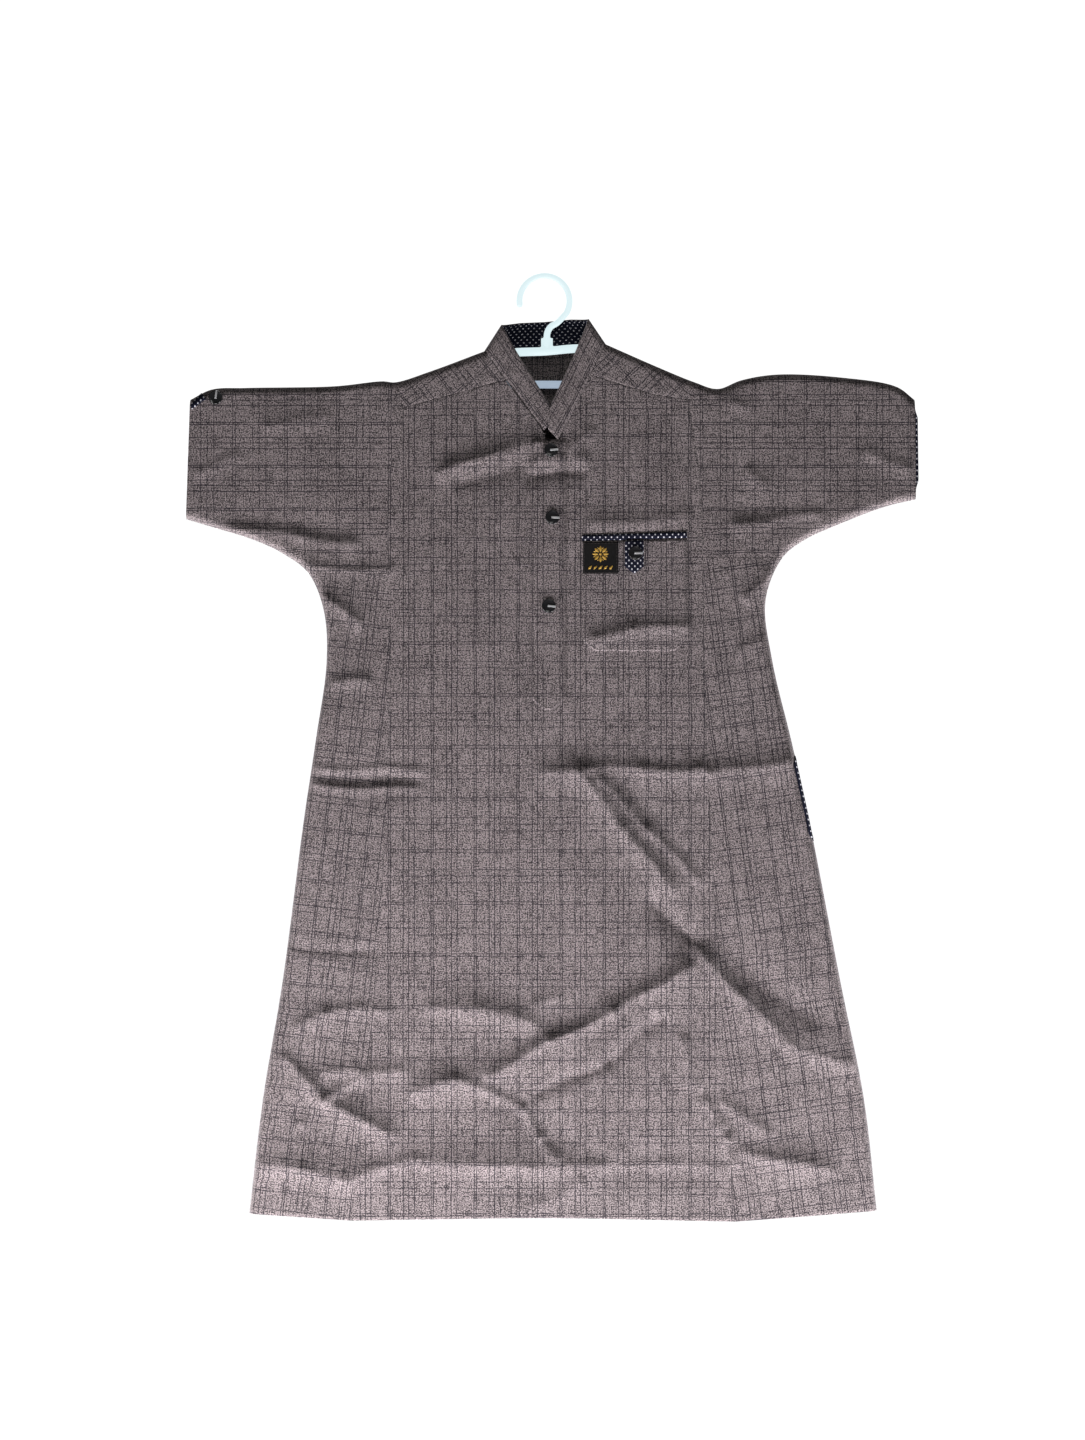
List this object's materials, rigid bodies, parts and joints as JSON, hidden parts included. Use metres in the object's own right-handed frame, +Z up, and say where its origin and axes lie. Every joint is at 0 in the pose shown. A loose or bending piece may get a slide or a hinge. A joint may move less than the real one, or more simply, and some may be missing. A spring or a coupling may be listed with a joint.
{
  "type": "thobe robe on a clothes hanger",
  "caption": "Boys' short-sleeved thobe of checked taupe cloth with a stand collar, buttoned placket and chest pocket, hanging flat on a moulded plastic clothes hanger.",
  "frame": {"origin": "inner top of the hanger's hook, where it hangs on a rail", "axes": "+Z up, +X to the wearer's left, front of the garment towards -Y"},
  "size_m": [0.6416, 0.0328, 0.8308],
  "materials": {
    "cloth": "matt woven suiting, brown taupe with fine dark checks",
    "dotted_cloth": "matt cotton, navy with white pin dots",
    "badge": "matt black weave with gold thread",
    "button": "polished black",
    "button_bar": "bright inlay",
    "hanger_plastic": "semi-gloss white"
  },
  "bodies": {
    "root": {"back_panel": "cloth", "badge": "badge", "button_1": "button", "button_2": "button", "button_3": "button", "button_bar_1": "button_bar", "button_bar_2": "button_bar", "button_bar_3": "button_bar", "button_bar_cuff": "button_bar", "button_bar_pocket": "button_bar", "button_cuff": "button", "button_pocket": "button", "collar": "cloth", "collar_lining": "dotted_cloth", "cuff_corner_right": "dotted_cloth", "cuff_facing_left": "dotted_cloth", "front_panel": "cloth", "gore_back_left": "cloth", "gore_back_right": "cloth", "gore_front_left": "cloth", "gore_front_right": "cloth", "hanger": "hanger_plastic", "placket": "cloth", "pocket": "cloth", "pocket_binding": "dotted_cloth", "pocket_tab": "dotted_cloth", "side_pocket_trim": "dotted_cloth", "sleeve_left": "cloth", "sleeve_right": "cloth", "yoke": "cloth"}
  },
  "joints": []
}
